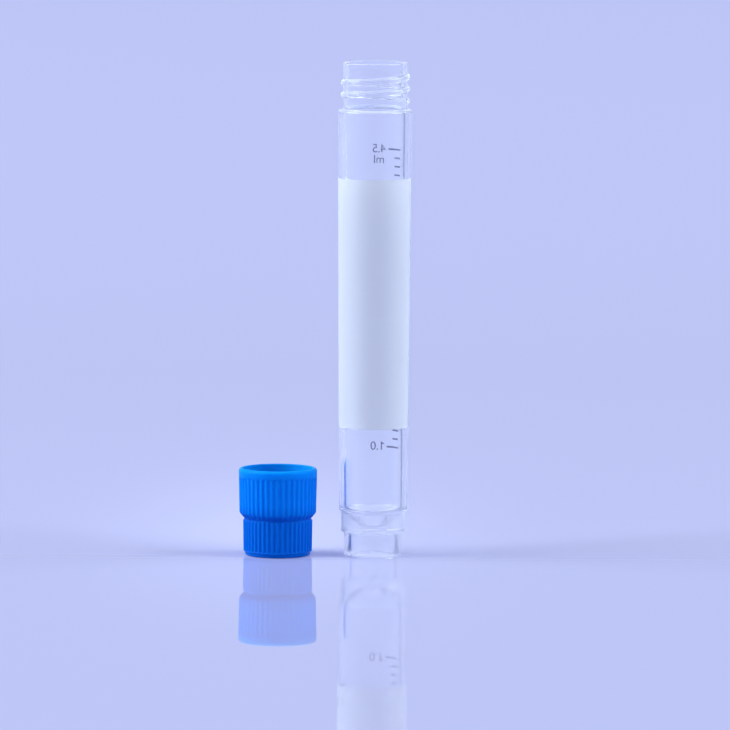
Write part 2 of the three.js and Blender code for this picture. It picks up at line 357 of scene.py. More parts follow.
def thread_sizes(start, turns, depth, width, radius):
    """The inputs of a shape with a thread. All threads have the one pitch."""
    return {
        "Thread Start": start * MM,
        "Thread Pitch": THREAD_PITCH * MM,
        "Thread Turns": float(turns),
        "Thread Depth": depth * MM,
        "Thread Width": width * MM,
        "Thread Radius": radius * MM,
    }


def thread_rise(shape, angle, height, turns):
    """How far the ridge of a right-handed thread stands over its wall. Each pass is one turn, and
    an end rounds off because the nearest point of the ridge's middle line stays inside it."""
    rise = None
    for turn in range(-1, math.ceil(turns) + 1):
        here = angle / TAU + turn
        along = here.between(0, shape.size("Thread Turns"))
        up = height - shape.size("Thread Start") - along * shape.size("Thread Pitch")
        past = (here - along) * TAU * shape.size("Thread Radius")
        reach = (up * up + past * past) ** 0.5 / (shape.size("Thread Width") / 2)
        ridge = 1 - reach.least(1) ** RIDGE_FULLNESS
        rise = ridge if rise is None else rise.most(ridge)
    return rise * shape.size("Thread Depth")


class Finish(Tree):
    """A material's shader tree."""

    def __init__(self, name):
        self.material = bpy.data.materials.new(name)
        self.material.use_nodes = True
        super().__init__(self.material.node_tree)
        self.tree.nodes.clear()
        self.place = self.node("ShaderNodeTexCoord", {}, {}, "Object")

    def noise(self, size, detail=2.0, stretch=(1, 1, 1)):
        """Cloudy noise from 0 to 1 with features of that size in millimetres."""
        scale = [s / (size * MM) for s in stretch]
        scaled = self.node("ShaderNodeMapping", {}, {"Vector": self.place, "Scale": scale})
        sockets = {"Vector": scaled, "Scale": 1.0, "Detail": detail}
        return self.node("ShaderNodeTexNoise", {}, sockets, "Fac")

    def bump(self, height, strength, distance):
        sockets = {"Height": height, "Strength": strength, "Distance": distance * MM}
        return self.node("ShaderNodeBump", {}, sockets)

    def plastic(self, **sockets):
        """A Principled shader. Socket names are written with underscores for spaces."""
        named = {name.replace("_", " "): value for name, value in sockets.items()}
        named = {name.replace("Ior", "IOR"): value for name, value in named.items()}
        return self.node("ShaderNodeBsdfPrincipled", {}, named)

    def mixed(self, factor, first, second):
        return self.node("ShaderNodeMixShader", {}, {0: factor, 1: first, 2: second})

    def shown(self, shader):
        output = self.tree.nodes.new("ShaderNodeOutputMaterial")
        self.tree.links.new(shader.socket, output.inputs["Surface"])
        return self.material


def clear_polypropylene():
    """Clear, with a milky haze that grows where the plastic is thick: in the base, at the neck's
    root, in the thread's ridges, and where the wall is looked at along its length."""
    CLEAR = (0.99, 0.995, 1.0, 1)
    HAZE = (0.84, 0.865, 1.0, 1)
    WALL_HAZE = 0.05
    NECK_HAZE = 0.01
    ROUNDED_EDGE_HAZE = 0.35
    BASE_HAZE = 0.26
    STANDING_EDGE_HAZE = 0.4
    finish = Finish("clear_polypropylene")
    across, depth, height = finish.parts(finish.place)
    z = height / MM
    above_shoulder = z - SHOULDER
    out = ((across / MM - TUBE_AXIS) ** 2 + (depth / MM) ** 2) ** 0.5 - NECK_RADIUS

    on_neck = above_shoulder.ramp(-0.3, 0.3)
    on_base = z.ramp(WAIST_TOP + 0.6, WAIST_TOP) * z.ramp(FOOT_HEIGHT - 1, FOOT_HEIGHT)
    ridge = out.ramp(0.02, 0.2) * on_neck
    at_back = depth.ramp(0.001, 0.003)
    root = above_shoulder.ramp(-0.1, -0.02) * (above_shoulder - at_back * 0.35).ramp(0.22, 0.05)
    root = root * out.ramp(0.8, 0.4) * (at_back * 0.4 + 0.5)
    bend = above_shoulder.ramp(-0.45, -0.2) * above_shoulder.ramp(0.1, 0) * out.ramp(0.3, 0.5)
    rim = z.ramp(TUBE_HEIGHT - 0.35, TUBE_HEIGHT - 0.15)

    wall = (on_neck * (NECK_HAZE - WALL_HAZE) + WALL_HAZE).most(root)
    wall = wall.most(bend.most(rim) * ROUNDED_EDGE_HAZE).most(on_base * BASE_HAZE)
    wall = wall.most(z.ramp(0.3, 0.1) * STANDING_EDGE_HAZE)
    edge_on = finish.node("ShaderNodeLayerWeight", {}, {"Blend": 0.5}, "Facing")
    along = edge_on ** 4 * (on_neck * 0.55 + 0.18)
    in_ridge = ridge * (edge_on ** 2 * 0.4 + 0.18)
    in_base = on_base.most(bend) * edge_on ** 2 * 0.45
    thick = (wall + along + in_ridge + in_base).between(0, 1)

    normal = finish.bump(finish.noise(2.5, 1.0, (1, 1, 0.35)), 0.15, 0.02)
    clear = finish.plastic(
        Base_Color=CLEAR,
        Roughness=finish.noise(1.2) * 0.02 + ridge * 0.16 + 0.02,
        Ior=1.49,
        Transmission_Weight=1.0,
        Normal=normal,
    )
    haze = finish.plastic(Base_Color=HAZE, Roughness=0.7, Ior=1.2, Transmission_Weight=0.4, Normal=normal)
    cloudy = finish.mixed(thick, clear, haze)
    lamp_ray = finish.node("ShaderNodeLightPath", {}, {}, "Is Shadow Ray")
    through = finish.node("ShaderNodeBsdfTransparent", {}, {"Color": (0.7, 0.73, 0.79, 1)})
    return finish.shown(finish.mixed(lamp_ray, cloudy, through))


def tube_outline():
    """From the middle of the hollow foot's roof, round the foot, up the outside to the rim and
    down the bore to the lowest point of the conical bottom."""
    ROOF_STEPS = 12
    lip_top = FOOT_HEIGHT + LIP_HEIGHT
    shares = [i / ROOF_STEPS for i in range(ROOF_STEPS + 1)]
    roof = [(s * FOOT_BORE_RADIUS, FOOT_ROOF_HEIGHT - FOOT_ROOF_SAG * (1 - s * s)) for s in shares]
    foot = [
        *arc(FOOT_BORE_RADIUS + FOOT_EDGE_ROUND, FOOT_EDGE_ROUND, FOOT_EDGE_ROUND, 180, 270, 6),
        *arc(FOOT_RADIUS - FOOT_EDGE_ROUND, FOOT_EDGE_ROUND, FOOT_EDGE_ROUND, -90, 0, 6),
        (FOOT_RADIUS, FOOT_HEIGHT),
    ]
    lip_edge = LIP_RADIUS - LIP_EDGE_ROUND
    waist_bend = (WAIST_RADIUS, WAIST_TOP - WAIST_SLOPE)
    body_bend = (BODY_END_RADIUS, WAIST_TOP)
    waist = [
        (lip_edge, FOOT_HEIGHT),
        *arc(lip_edge, FOOT_HEIGHT + LIP_EDGE_ROUND, LIP_EDGE_ROUND, -90, 0, 4),
        (LIP_RADIUS, lip_top),
        (WAIST_RADIUS, lip_top + LIP_SLOPE),
        *eased((WAIST_RADIUS, lip_top), waist_bend, body_bend, WAIST_ROUND),
        *eased(waist_bend, body_bend, (BODY_END_RADIUS, SHOULDER), WAIST_ROUND),
    ]
    body = arc(BODY_RADIUS - SHOULDER_ROUND, SHOULDER - SHOULDER_ROUND, SHOULDER_ROUND, 0, 90, 9)
    root_middle = (NECK_RADIUS + NECK_ROOT_ROUND, SHOULDER + NECK_ROOT_ROUND)
    neck_root = arc(*root_middle, NECK_ROOT_ROUND, 270, 180, 6)
    first = SHOULDER + THREAD_START - THREAD_WIDTH
    last = SHOULDER + THREAD_START + THREAD_TURNS * THREAD_PITCH + THREAD_WIDTH
    rows = round((last - first) / THREAD_ROW)
    neck = [(NECK_RADIUS, first + (last - first) * i / rows) for i in range(rows + 1)]
    rim = [
        *arc(NECK_RADIUS - RIM_OUTER_ROUND, TUBE_HEIGHT - RIM_OUTER_ROUND, RIM_OUTER_ROUND, 0, 90, 6),
        *arc(BORE_RADIUS + RIM_INNER_ROUND, TUBE_HEIGHT - RIM_INNER_ROUND, RIM_INNER_ROUND, 90, 180, 5),
    ]
    cone_top = (BORE_END_RADIUS, BOTTOM_HEIGHT + BOTTOM_DEPTH)
    cone_end = (BOTTOM_TIP_RADIUS, BOTTOM_HEIGHT + BOTTOM_TIP_DISH)
    bottom = [
        *eased((BORE_END_RADIUS, TUBE_HEIGHT), cone_top, cone_end, BOTTOM_ROUND),
        *eased(cone_top, cone_end, (0, BOTTOM_HEIGHT), BOTTOM_ROUND),
        (0, BOTTOM_HEIGHT),
    ]
    return held([*roof, *foot, *waist, *body, *neck_root, *neck, *rim, *bottom])


def neck_rule(shape, angle, height, marks):
    """The thread's ridge, which stands out from the neck alone."""
    return marks["neck"] * thread_rise(shape, angle, height, THREAD_TURNS)


outline = tube_outline()
ridge_start = SHOULDER + THREAD_START
tube = turned(
    "clear_tube",
    outline,
    TUBE_SIDES,
    TUBE_AXIS,
    clear_polypropylene(),
    rule=neck_rule,
    marks={"neck": [float(abs(r - NECK_RADIUS) < CLOSE) for r, z in outline]},
    sizes=thread_sizes(ridge_start, THREAD_TURNS, THREAD_DEPTH, THREAD_WIDTH, NECK_RADIUS),
)
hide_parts("vial_tube")
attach(tube, "root")


# ---------------------------------------------------------------- the writing patch
# A field of matt white ink, printed on the front of the body to be written on. It reaches
# further round to the left than to the right.

PATCH_BOTTOM = 21.94
PATCH_TOP = 64.0
PATCH_LEFT = -100.0
PATCH_RIGHT = 77.0
PATCH_THICKNESS = 0.02
PATCH_COLUMNS = 97
PATCH_ROWS = 61
PRINT_DEPTH = 0.01
PRINT_RADIUS = (BODY_RADIUS + BODY_END_RADIUS) / 2


def body_radius(height):
    """The body's outer radius at a height. Both are in metres, and numbers or sockets."""
    share = (height - WAIST_TOP * MM) / ((SHOULDER - SHOULDER_ROUND - WAIST_TOP) * MM)
    return share * ((BODY_RADIUS - BODY_END_RADIUS) * MM) + BODY_END_RADIUS * MM


def wrapped(shape, flat):
    """Bends a flat print round the body. X goes round it in metres of arc, counted from the front,
    and Z stays its height. The print's face stands out of the wall, and its back is sunk in it."""
    along, side, height = shape.parts(shape.node("GeometryNodeInputPosition", {}, {}))
    is_face = side.math("LESS_THAN", 0)
    out = is_face * (shape.size("Thickness") + PRINT_DEPTH * MM) - PRINT_DEPTH * MM
    radius = body_radius(height) + out
    angle = along / shape.size("Print Radius")
    across = radius * angle.math("SINE") + shape.size("Axis X")
    place = shape.vector(across, radius * angle.math("COSINE") * -1, height)
    return shape.node("GeometryNodeSetPosition", {}, {"Geometry": flat, "Position": place})


def patch_finish():
    """Matt white ink with a faint mottle. Painted light makes it lighter towards its top, where light
    comes in through the clear neck above.
    """
    finish = Finish("white_patch_ink")
    mottle = finish.noise(0.6, 4.0)
    _, _, height = finish.parts(finish.place)
    # Painted light: the ink is lighter towards the top of the patch, mixed with the mottle.
    lit_top_and_mottle = (height / MM).ramp(PATCH_TOP - 9, PATCH_TOP) * 0.5 + mottle * 0.5
    return finish.shown(
        finish.plastic(
            Base_Color=finish.blend(lit_top_and_mottle, (0.905, 0.94, 1.0), (0.97, 0.99, 1.0)),
            Roughness=mottle * 0.1 + 0.85,
            Specular_IOR_Level=0.3,
            Transmission_Weight=0.42,
            Ior=1.3,
            Normal=finish.bump(finish.noise(0.15, 3.0), 0.2, 0.01),
        )
    )


def writing_patch():
    sizes = {
        "Axis X": TUBE_AXIS * MM,
        "Print Radius": PRINT_RADIUS * MM,
        "Left": math.radians(PATCH_LEFT) * PRINT_RADIUS * MM,
        "Right": math.radians(PATCH_RIGHT) * PRINT_RADIUS * MM,
        "Bottom": PATCH_BOTTOM * MM,
        "Top": PATCH_TOP * MM,
        "Thickness": PATCH_THICKNESS * MM,
    }
    shape = Shape("writing_patch_shape", sizes)
    width = shape.size("Right") - shape.size("Left")
    height = shape.size("Top") - shape.size("Bottom")
    size = shape.vector(width, 1.0, height)
    flat = shape.node(
        "GeometryNodeMeshCube",
        {},
        {"Size": size, "Vertices X": PATCH_COLUMNS, "Vertices Y": 2, "Vertices Z": PATCH_ROWS},
        "Mesh",
    )
    middle_across = (shape.size("Right") + shape.size("Left")) / 2
    middle_up = (shape.size("Top") + shape.size("Bottom")) / 2
    middle = shape.vector(middle_across, 0.0, middle_up)
    placed = shape.node("GeometryNodeTransform", {}, {"Geometry": flat, "Translation": middle})
    shape.finish(wrapped(shape, placed))
    return shape.made_from("writing_patch", bpy.data.meshes.new("writing_patch"), patch_finish())


patch = writing_patch()
outward(patch)
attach(patch, "root")


# ---------------------------------------------------------------- the printed scale
# Slate blue ink on the back of the body: a tick for each tenth of a millilitre from 1.0 to 4.5,
# a longer one for each half, and plain numbers beside the whole ones. It is read from behind,
# and from the front it shows mirrored through the tube.

SCALE_FIRST = 18.0
SCALE_STEP = 1.4434
SCALE_COUNT = 36
TICK_EDGE = 62.0
TICK_LONG = 3.7
TICK_SHORT = 2.15
TICK_HEIGHT = 0.28
TICKS_PER_HALF = 5
INK_THICKNESS = 0.02
NUMBER_HEIGHT = 1.49
NUMBER_STRETCH = 1.15
NUMBER_MIDDLE = 7.5
NUMBER_SPACING = 0.98
NUMBERED_TICKS = (0, 10, 20, 30, 35)
FONT_SIZE_PER_HEIGHT = 1.37
LETTER_DEPTH = 1.0
UNIT_DROP = 1.83
SLICE_WIDTH = 0.25
SLICES = 8
FLAG_REACH = 0.4
FLAG_DROP = 0.3
FLAG_WIDTH = 0.18
FLAG_LAP = 0.03


def ink():
    """Slate blue ink, a little uneven."""
    finish = Finish("scale_ink")
    mottle = finish.noise(0.25, 3.0)
    return finish.shown(
        finish.plastic(
            Base_Color=finish.blend(mottle, (0.02, 0.035, 0.16), (0.05, 0.07, 0.22)),
            Roughness=0.6,
            Specular_IOR_Level=0.2,
            Normal=finish.bump(mottle, 0.1, 0.01),
        )
    )


scale_ink = ink()


def scale_ticks():
    sizes = {
        "Axis X": TUBE_AXIS * MM,
        "Print Radius": PRINT_RADIUS * MM,
        "Edge": math.radians(180 - TICK_EDGE) * PRINT_RADIUS * MM,
        "First": SCALE_FIRST * MM,
        "Step": SCALE_STEP * MM,
        "Count": SCALE_COUNT,
        "Long": TICK_LONG * MM,
        "Short": TICK_SHORT * MM,
        "Height": TICK_HEIGHT * MM,
        "Thickness": INK_THICKNESS * MM,
    }
    shape = Shape("scale_ticks_shape", sizes)
    line = shape.node(
        "GeometryNodeMeshLine",
        {"mode": "OFFSET"},
        {
            "Count": shape.size("Count"),
            "Start Location": shape.vector(shape.size("Edge"), 0.0, shape.size("First")),
            "Offset": shape.vector(0.0, 0.0, shape.size("Step")),
        },
        "Mesh",
    )
    index = shape.node("GeometryNodeInputIndex", {}, {})
    # 1 at every fifth tick. The 0.01 keeps a whole number from falling just short of itself.
    half = (index / TICKS_PER_HALF + 0.01).math("FRACT").math("LESS_THAN", 0.05)
    length = half * (shape.size("Long") - shape.size("Short")) + shape.size("Short")
    bar = shape.node(
        "GeometryNodeMeshCube",
        {},
        {"Size": (1, 1, 1), "Vertices X": 9, "Vertices Y": 2, "Vertices Z": 2},
        "Mesh",
    )
    from_edge = shape.node("GeometryNodeTransform", {}, {"Geometry": bar, "Translation": (0.5, 0, 0)})
    scale = shape.vector(length, 1.0, shape.size("Height"))
    sockets = {"Points": line, "Instance": from_edge, "Scale": scale}
    ticks = shape.node("GeometryNodeInstanceOnPoints", {}, sockets)
    plain = shape.node("GeometryNodeRealizeInstances", {}, {"Geometry": ticks})
    shape.finish(wrapped(shape, plain))
    return shape.made_from("scale_ticks", bpy.data.meshes.new("scale_ticks"), scale_ink)


def flat_text(text):
    """A number or a word as a flat closed mesh in millimetres, half of it on either side of z = 0."""
    letters = bpy.data.curves.new("number", "FONT")
    letters.body = text
    letters.size = NUMBER_HEIGHT * FONT_SIZE_PER_HEIGHT
    letters.space_character = NUMBER_SPACING
    letters.extrude = LETTER_DEPTH / 2
    letters.align_x = "CENTER"
    letters.align_y = "CENTER"
    holder = bpy.data.objects.new("number", letters)
    bpy.context.scene.collection.objects.link(holder)
    evaluated = holder.evaluated_get(bpy.context.evaluated_depsgraph_get())
    mesh = bpy.data.meshes.new_from_object(evaluated)
    bpy.data.objects.remove(holder)
    work = bmesh.new()
    work.from_mesh(mesh)
    bpy.data.meshes.remove(mesh)
    bmesh.ops.remove_doubles(work, verts=work.verts, dist=CLOSE)
    return work


def add_flag(work):
    """The short sloping stroke at the top of a figure 1, on the left of its stem."""
    stem = min(vertex.co.x for vertex in work.verts) + FLAG_LAP
    tip = stem - FLAG_LAP - FLAG_REACH
    top = max(vertex.co.y for vertex in work.verts)
    low = top - FLAG_DROP
    flag = [(stem, top), (tip, low), (tip, low - FLAG_WIDTH), (stem, low)]
    faces = (LETTER_DEPTH / 2, -LETTER_DEPTH / 2)
    front, back = ([work.verts.new((x, y, z)) for x, y in flag] for z in faces)
    work.faces.new(front)
    work.faces.new(back[::-1])
    for i in range(4):
        work.faces.new([front[i], back[i], back[(i + 1) % 4], front[(i + 1) % 4]])


def scale_number(text, height):
    """One number, laid flat as it reads from behind, and then bent round the back of the body."""
    work = flat_text(text)
    if text.startswith("1"):
        add_flag(work)
    for i in range(-SLICES, SLICES + 1):
        everything = [*work.verts, *work.edges, *work.faces]
        place = (i * SLICE_WIDTH, 0, 0)
        bmesh.ops.bisect_plane(work, geom=everything, plane_co=place, plane_no=(1, 0, 0))
    for vertex in work.verts:
        across, up, out = vertex.co
        z = (height + up) * MM
        radius = body_radius(z) + (INK_THICKNESS if out > 0 else -PRINT_DEPTH) * MM
        # Counted from the side at +X towards the back. Seen from behind, the right is at -X.
        angle = math.radians(90 - NUMBER_MIDDLE) + across * NUMBER_STRETCH * MM / radius
        vertex.co = (TUBE_AXIS * MM + radius * math.cos(angle), radius * math.sin(angle), z)
    return work


def scale_numbers():
    texts = [(f"{1 + i / 10:.1f}", SCALE_FIRST + i * SCALE_STEP) for i in NUMBERED_TICKS]
    _, highest = texts[-1]
    made = bpy.data.meshes.new("scale_numbers")
    joined = bmesh.new()
    for text, height in [*texts, ("ml", highest - UNIT_DROP)]:
        number = scale_number(text, height)
        number.to_mesh(made)
        joined.from_mesh(made)
        number.free()
    joined.to_mesh(made)
    joined.free()
    made.materials.append(scale_ink)
    piece = bpy.data.objects.new("scale_numbers", made)
    bpy.context.scene.collection.objects.link(piece)
    return piece


for piece in (scale_ticks(), scale_numbers()):
    outward(piece)
    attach(piece, "root")


# ---------------------------------------------------------------- the sealing washer
# A flat ring of pale silicone that lies on its seat round the plug inside the cap, and is
# pressed on the tube's rim when the cap is screwed on.

seal_low, seal_high = (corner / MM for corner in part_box("cap_seal"))
CAP_AXIS = (seal_low.x + seal_high.x) / 2
SEAL_RADIUS = (seal_high.x - seal_low.x) / 2
SEAL_WIDTH = 1.9
SEAL_INNER_RADIUS = SEAL_RADIUS - SEAL_WIDTH
SEAL_ROUND = 0.12
SEAL_SIDES = 160


def silicone():
    """Pale silicone with a soft skin."""
    finish = Finish("silicone_seal")
    mottle = finish.noise(0.8, 3.0)
    return finish.shown(
        finish.plastic(
            Base_Color=finish.blend(mottle, (0.74, 0.77, 0.84), (0.8, 0.82, 0.88)),
            Roughness=mottle * 0.15 + 0.45,
            Subsurface_Weight=0.3,
            Subsurface_Radius=(1, 1, 1),
            Subsurface_Scale=0.5 * MM,
            Normal=finish.bump(finish.noise(0.2), 0.15, 0.01),
        )
    )


corners = [
    (SEAL_RADIUS, seal_low.z, -90),
    (SEAL_RADIUS, seal_high.z, 0),
    (SEAL_INNER_RADIUS, seal_high.z, 90),
    (SEAL_INNER_RADIUS, seal_low.z, 180),
]
ring = []
for radius, height, start in corners:
    middle_radius = radius + (-SEAL_ROUND if radius == SEAL_RADIUS else SEAL_ROUND)
    middle_height = height + (SEAL_ROUND if height == seal_low.z else -SEAL_ROUND)
    ring += arc(middle_radius, middle_height, SEAL_ROUND, start, start + 90, 5)
seal = turned("sealing_washer", held([*ring, ring[0]]), SEAL_SIDES, CAP_AXIS, silicone())
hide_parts("cap_seal")
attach(seal, "root")


# ---------------------------------------------------------------- the screw cap
# One moulding in blue polypropylene, which stands on its crown with the mouth up. Its grip has
# rounded ribs on the crown and on the wider skirt, and inside the skirt runs the nut's thread.

_, cap_high = (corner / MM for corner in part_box("screw_cap"))
CAP_HEIGHT = cap_high.z
CAP_LIP_RADIUS = cap_high.y
CAP_LIP_ROUND = 0.55
MOUTH_CHAMFER = 0.1
LIP_BAND = 1.35
SKIRT_RADIUS = 6.48
SKIRT_START = 7.28
CROWN_HEIGHT = 6.5
STEP_GROOVE = 0.3
STEP_EDGE_OUT = 0.2
STEP_EDGE_UP = 0.25
CROWN_RADIUS = 5.86
CROWN_END_RADIUS = 5.79
CROWN_EDGE_HEIGHT = 0.75
CROWN_EDGE_INSET = 0.28
CROWN_EDGE_ROUND = 0.35
RECESS_RADIUS = 4.32
RECESS_DEPTH = 4.2
RECESS_ROUND = 0.4
RECESS_CHAMFER = 0.15
THREAD_BORE_RADIUS = 5.95
THREAD_BORE_END = 9.221
NECK_BORE_RADIUS = 5.55
SEAT_HEIGHT = seal_low.z
PLUG_CLEARANCE = 0.15
PLUG_RADIUS = SEAL_INNER_RADIUS - PLUG_CLEARANCE
PLUG_TOP = 8.4
PLUG_CHAMFER = 0.3
RIB_COUNT = 44
RIB_DEPTH = 0.2
RIB_RUNOUT = 0.3
COLUMNS_PER_RIB = 8
CAP_THREAD_TURNS = 1.75
CAP_THREAD_DEPTH = 0.38
CAP_THREAD_WIDTH = 0.9
CAP_THREAD_ROW = 0.07
CAP_THREAD_MARGIN = 0.05


def blue_polypropylene():
    """Blue with a satin skin, and deeper in the thick crown. Light goes a little way in, and the thin
    skirt's glow is also painted as a lighter blue. Painted shade darkens the groove under the step, and
    painted light brightens the lip and the inside of the mouth."""
    CROWN_BLUE = (0.0, 0.128, 0.61)
    SHADED_GROOVE_BLUE = (0.0, 0.075, 0.5)
    GLOWING_SKIRT_BLUE = (0.0, 0.204, 0.78)
    LIT_LIP_BLUE = (0.0, 0.27, 0.84)
    LIT_MOUTH_BLUE = (0.005, 0.34, 0.84)
    finish = Finish("blue_polypropylene")
    mottle = finish.noise(1.5, 3.0, (1, 1, 0.4))
    grain = finish.noise(0.08, 3.0)
    across, depth, height = finish.parts(finish.place)
    z = height / MM
    radius = ((across / MM - CAP_AXIS) ** 2 + (depth / MM) ** 2) ** 0.5
    skirt = z.ramp(SKIRT_START - 0.5, SKIRT_START + 1.5)
    # Painted light: the lip, which faces up, is lighter.
    lip = z.ramp(CAP_HEIGHT - 1.2, CAP_HEIGHT - 0.35)
    # Painted shade: the groove under the step is darker.
    groove = z.ramp(CROWN_HEIGHT - 0.5, CROWN_HEIGHT - 0.1)
    groove = groove * z.ramp(SKIRT_START - 0.1, SKIRT_START - 0.5)
    # Painted light: the inside of the mouth is lighter.
    mouth = radius.ramp(6.15, 6.0) * z.ramp(SKIRT_START + 0.4, SKIRT_START + 1.2)
    # The skirt's lighter blue is painted glow of light through its thin wall.
    blue = finish.blend(skirt * 0.9 + mottle * 0.1, CROWN_BLUE, GLOWING_SKIRT_BLUE)
    blue = finish.blend(groove * 0.7, blue, SHADED_GROOVE_BLUE)
    blue = finish.blend(lip, blue, LIT_LIP_BLUE)
    return finish.shown(
        finish.plastic(
            Base_Color=finish.blend(mouth, blue, LIT_MOUTH_BLUE),
            Roughness=mottle * 0.1 + 0.4,
            Specular_IOR_Level=0.03,
            Subsurface_Weight=0.5,
            Subsurface_Radius=(0.1, 0.8, 1.0),
            Subsurface_Scale=0.6 * MM,
            Normal=finish.bump(grain, 0.08, 0.01),
        )
    )


def skirt_radius(z):
    """The skirt's outer radius at a height. It widens a little from the step up to the lip."""
    share = (z - SKIRT_START) / (CAP_HEIGHT - CAP_LIP_ROUND - SKIRT_START)
    return SKIRT_RADIUS + (CAP_LIP_RADIUS - SKIRT_RADIUS) * share


def cap_outline():
    """From the middle of the crown's recess, out and up the grip, over the lip, and down inside
    past the thread, the washer's seat and the plug."""
    edge = CROWN_END_RADIUS - CROWN_EDGE_INSET
    rib_end = CAP_HEIGHT - LIP_BAND
    recess = [
        (0, RECESS_DEPTH),
        *arc(RECESS_RADIUS - RECESS_ROUND, RECESS_DEPTH - RECESS_ROUND, RECESS_ROUND, 90, 0, 6),
        (RECESS_RADIUS, RECESS_CHAMFER),
        (RECESS_RADIUS + RECESS_CHAMFER, 0),
    ]
    crown = [
        *arc(edge - CROWN_EDGE_ROUND, CROWN_EDGE_ROUND, CROWN_EDGE_ROUND, -90, 0, 8),
        (edge, CROWN_EDGE_HEIGHT - CROWN_EDGE_INSET / 2),
        (CROWN_END_RADIUS, CROWN_EDGE_HEIGHT),
        (CROWN_END_RADIUS, CROWN_EDGE_HEIGHT + RIB_RUNOUT),
        (CROWN_RADIUS, CROWN_HEIGHT - STEP_GROOVE - RIB_RUNOUT),
        (CROWN_RADIUS - RIB_DEPTH, CROWN_HEIGHT - STEP_GROOVE),
        (CROWN_RADIUS - RIB_DEPTH, CROWN_HEIGHT),
        (CROWN_RADIUS, CROWN_HEIGHT),
        (CROWN_RADIUS + STEP_EDGE_OUT, CROWN_HEIGHT + STEP_EDGE_UP),
    ]
    grip = [
        (SKIRT_RADIUS, SKIRT_START),
        (skirt_radius(rib_end - RIB_RUNOUT), rib_end - RIB_RUNOUT),
        (skirt_radius(rib_end), rib_end),
    ]
    lip = arc(CAP_LIP_RADIUS - CAP_LIP_ROUND, CAP_HEIGHT - CAP_LIP_ROUND, CAP_LIP_ROUND, 0, 90, 10)
    mouth = THREAD_BORE_RADIUS + MOUTH_CHAMFER
    first = THREAD_BORE_END
    last = CAP_HEIGHT - MOUTH_CHAMFER - CAP_THREAD_MARGIN
    rows = round((last - first) / CAP_THREAD_ROW)
    inside = [
        (mouth, CAP_HEIGHT),
        *[(THREAD_BORE_RADIUS, last + (first - last) * i / rows) for i in range(rows + 1)],
        (NECK_BORE_RADIUS, THREAD_BORE_END - (THREAD_BORE_RADIUS - NECK_BORE_RADIUS)),
        (NECK_BORE_RADIUS, SEAT_HEIGHT),
        (PLUG_RADIUS, SEAT_HEIGHT),
        (PLUG_RADIUS, PLUG_TOP - PLUG_CHAMFER),
        (PLUG_RADIUS - PLUG_CHAMFER, PLUG_TOP),
        (0, PLUG_TOP),
    ]
    return held([*recess, *crown, *grip, *lip, *inside])


def rib_mark(radius, height):
    """1 where the grip is ribbed in full, running out to 0 at both ends of the ribs and on either
    side of the groove under the step."""
    least = SKIRT_RADIUS if height > SKIRT_START else CROWN_END_RADIUS - RIB_DEPTH
    if radius < least - CLOSE:
        return 0.0
    from_groove = max(height - CROWN_HEIGHT, CROWN_HEIGHT - STEP_GROOVE - height)
    from_end = min(height - CROWN_EDGE_HEIGHT, CAP_HEIGHT - LIP_BAND - height, from_groove)
    return max(0.0, min(1.0, from_end / RIB_RUNOUT))


def cap_rule(shape, angle, height, marks):
    """Valleys between the ribs on the outside, and the nut's ridge, which stands inwards."""
    wave = (1 - (angle * shape.size("Ribs")).math("COSINE")) / 2
    valleys = marks["ribs"] * wave * shape.size("Rib Depth")
    return 0 - valleys - marks["nut"] * thread_rise(shape, angle, height, CAP_THREAD_TURNS)


outline = cap_outline()
cap = turned(
    "ribbed_cap",
    outline,
    RIB_COUNT * COLUMNS_PER_RIB,
    CAP_AXIS,
    blue_polypropylene(),
    rule=cap_rule,
    marks={
        "ribs": [rib_mark(r, z) for r, z in outline],
        "nut": [float(abs(r - THREAD_BORE_RADIUS) < CLOSE) for r, z in outline],
    },
    sizes={
        "Ribs": float(RIB_COUNT),
        "Rib Depth": RIB_DEPTH * MM,
        **thread_sizes(
            THREAD_BORE_END + THREAD_WIDTH / 2,
            CAP_THREAD_TURNS,
            CAP_THREAD_DEPTH,
            CAP_THREAD_WIDTH,
            THREAD_BORE_RADIUS,
        ),
    },
)
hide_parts("screw_cap")
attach(cap, "root")


# ---------------------------------------------------------------- the bench and the light
# A pale glossy bench that goes back into a plain pale sweep, lit by a large soft lamp on either side
# and one above in a dim pale room. How bright the bench and the room look in the clear plastic is
# set by direction: brightest at the left and the back, and dim at the front and the right.

BENCH_REACH = 3.0
BENCH = (0.42, 0.428, 0.63)
SWEEP = (0.497, 0.558, 0.913)
DIM_SWEEP = (0.42, 0.56, 1.05)
BENCH_GLOSS = 1.35
GLOSS_ROUGHNESS = 0.015

# Brightness round the vial, halved. 0 and 1 are the back, 0.25 the left, 0.5 the front.
ROOM_ROUND = [
    (0.0, 0.53),
    (0.06, 0.575),
    (0.12, 0.6),
    (0.28, 0.6),
    (0.4, 0.34),
    (0.5, 0.32),
    (0.65, 0.33),
    (0.75, 0.42),
    (0.79, 0.28),
    (0.85, 0.23),
    (0.87, 0.54),
    (0.94, 0.55),
    (1.0, 0.53),
]


def round_the_room(tree, toward_x, toward_y):
    """The turn of a direction, as ROOM_ROUND counts it, and the brightness there."""
    turn = toward_x.math("ARCTAN2", toward_y * -1) / TAU + 0.5
    return turn, tree.node("ShaderNodeValToRGB", {"stops": ROOM_ROUND}, {0: turn}) * 2


def soft_spot(across, depth, middle, reach):
    """1 at a place on the bench, and less all round it. Middle and reach are in millimetres."""
    x = (across / MM - middle[0]) / reach[0]
    y = (depth / MM - middle[1]) / reach[1]
    return ((x ** 2 + y ** 2) * -1).math("EXPONENT")


